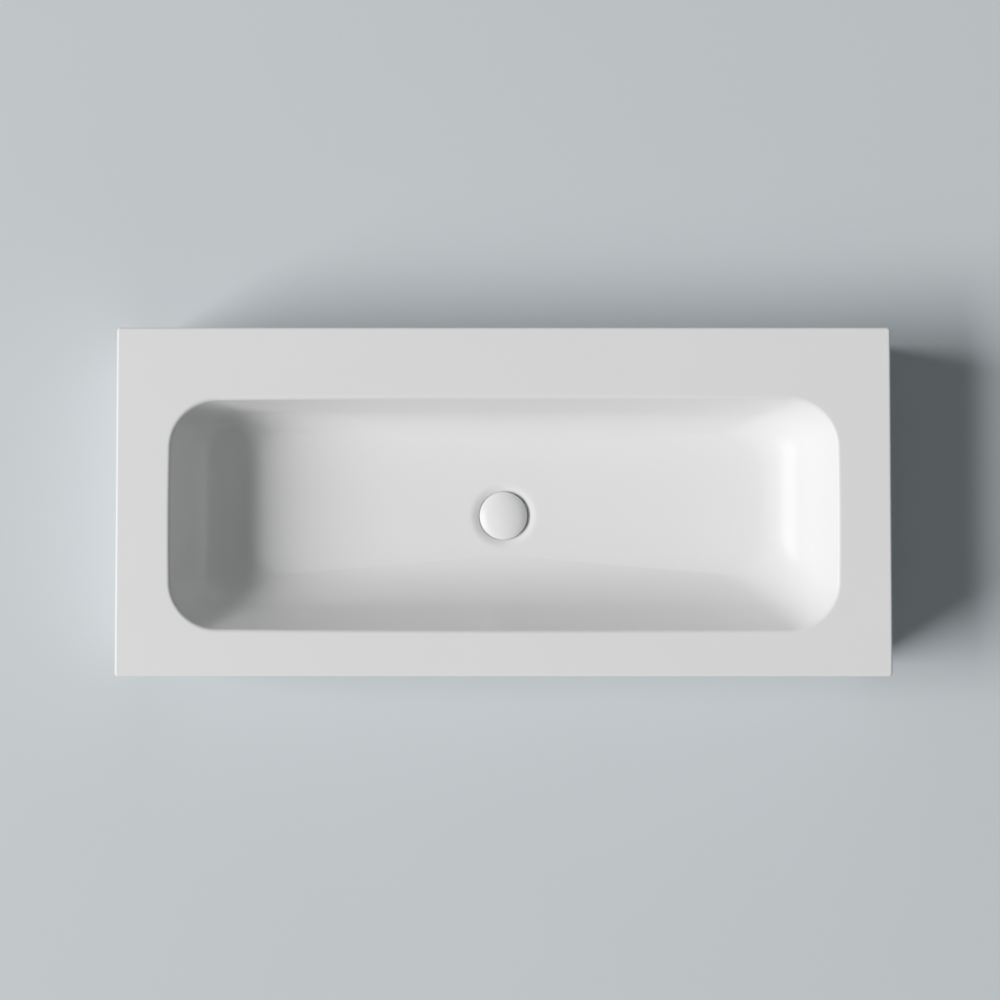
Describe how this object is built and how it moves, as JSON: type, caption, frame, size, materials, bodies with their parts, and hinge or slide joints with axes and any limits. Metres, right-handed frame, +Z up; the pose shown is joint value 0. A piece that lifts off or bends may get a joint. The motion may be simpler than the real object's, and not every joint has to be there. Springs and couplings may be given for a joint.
{
  "type": "countertop basin",
  "caption": "Rectangular white ceramic countertop basin with a flat deck, a soft trough-shaped bowl and a push-open waste under a domed ceramic plug.",
  "frame": {"origin": "middle of the foot, on the counter plane", "axes": "+X to the right of a person at the basin, +Y to the wall, +Z up out of the bowl"},
  "size_m": [1, 0.45, 0.16],
  "materials": {
    "basin_glaze": "gloss white glaze, bare biscuit on the foot",
    "cap_glaze": "gloss white glaze",
    "chrome": "polished chrome on brass",
    "rubber": "matt black rubber",
    "nylon": "natural nylon",
    "brass": "turned brass",
    "acetal": "white acetal",
    "carrier_plastic": "moulded dark plastic",
    "spring_steel": "drawn spring wire"
  },
  "bodies": {
    "basin": {"basin_body": "basin_glaze", "waste_body": "chrome", "flange_gasket": "rubber", "lower_gasket": "rubber", "stem_wiper_ring": "rubber", "slip_washer": "nylon", "back_nut": "brass", "cartridge_gland": "brass", "cartridge_housing": "acetal", "cartridge_base": "acetal", "cartridge_spring": "spring_steel"},
    "plug": {"plug_cap": "cap_glaze", "plug_carrier": "carrier_plastic", "plug_seal": "rubber", "plug_stem": "brass", "stem_lock_nut": "brass", "latch_rotor": "acetal"}
  },
  "joints": [
    {"name": "plug_lift", "type": "slide", "parent": "basin", "child": "plug", "axis": [0, 0, 1], "range_m": [0, 0.009], "deforming": ["cartridge_spring"]}
  ]
}
